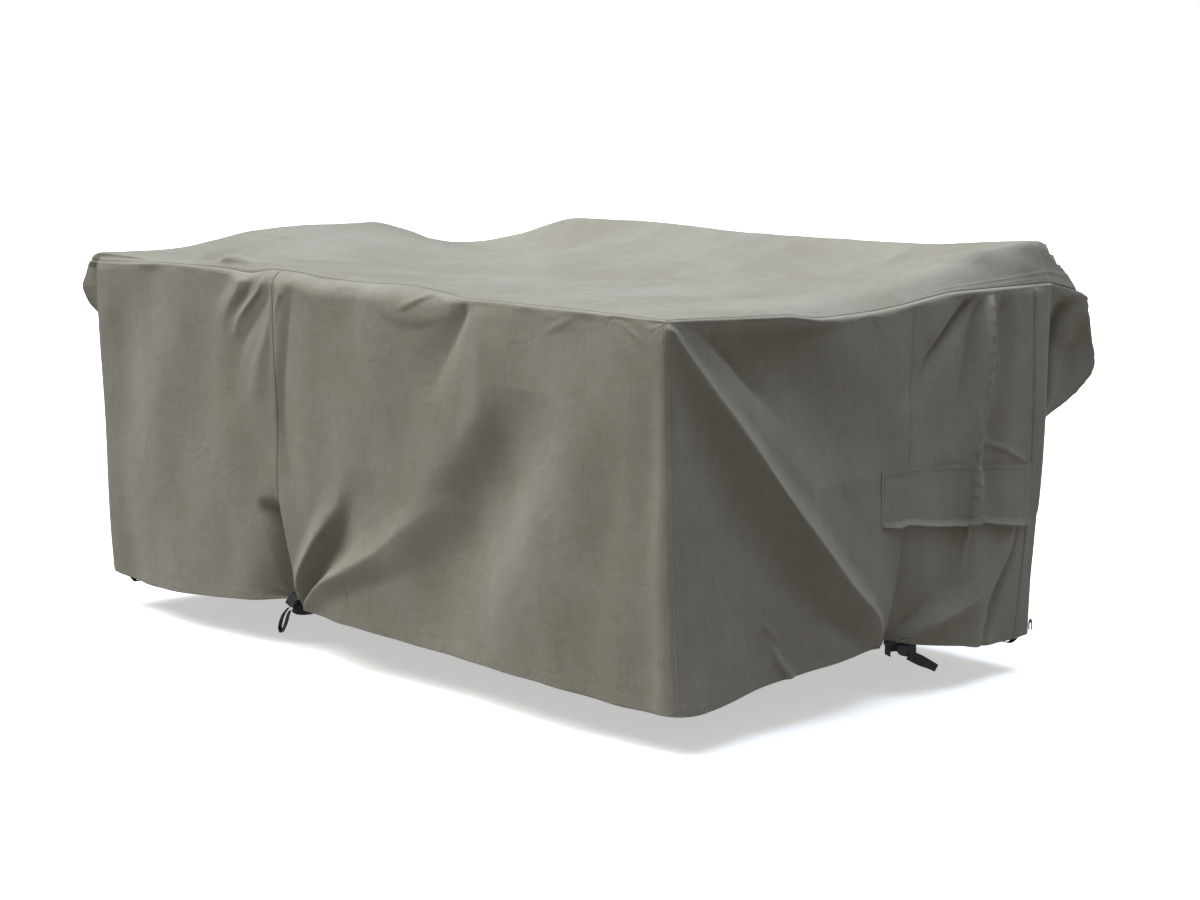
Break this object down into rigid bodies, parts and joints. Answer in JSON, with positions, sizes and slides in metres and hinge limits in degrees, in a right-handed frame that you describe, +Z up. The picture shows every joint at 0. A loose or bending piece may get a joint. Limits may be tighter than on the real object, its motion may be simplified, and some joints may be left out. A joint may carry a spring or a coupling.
{
  "type": "patio furniture cover",
  "caption": "Fitted woven polyester cover with a top panel, hanging walls, a vent flap and webbing ties that gather the hem, hollow and open below.",
  "frame": {"origin": "middle of the underside of the top panel, where the cover is carried", "axes": "+X along the long front wall towards the near end with the flap, +Y from the front wall to the back wall, +Z up"},
  "size_m": [2.222, 1.3645, 0.9431],
  "materials": {
    "cloth": "matte woven polyester, taupe grey",
    "webbing": "black woven webbing",
    "plastic": "dark moulded plastic"
  },
  "bodies": {
    "root": {"top_panel": "cloth", "front_panel_left": "cloth", "front_panel_right": "cloth", "end_panel_near": "cloth", "end_panel_far": "cloth", "back_panel": "cloth", "left_end_panel": "cloth", "vent_flap": "cloth", "front_gather_strap": "webbing", "front_strap_loop": "webbing", "end_gather_strap": "webbing", "end_strap_knot": "webbing", "end_strap_tail": "webbing", "corner_strap_right": "webbing", "corner_strap_left": "webbing", "front_buckle": "plastic", "corner_clip": "plastic"}
  },
  "joints": []
}
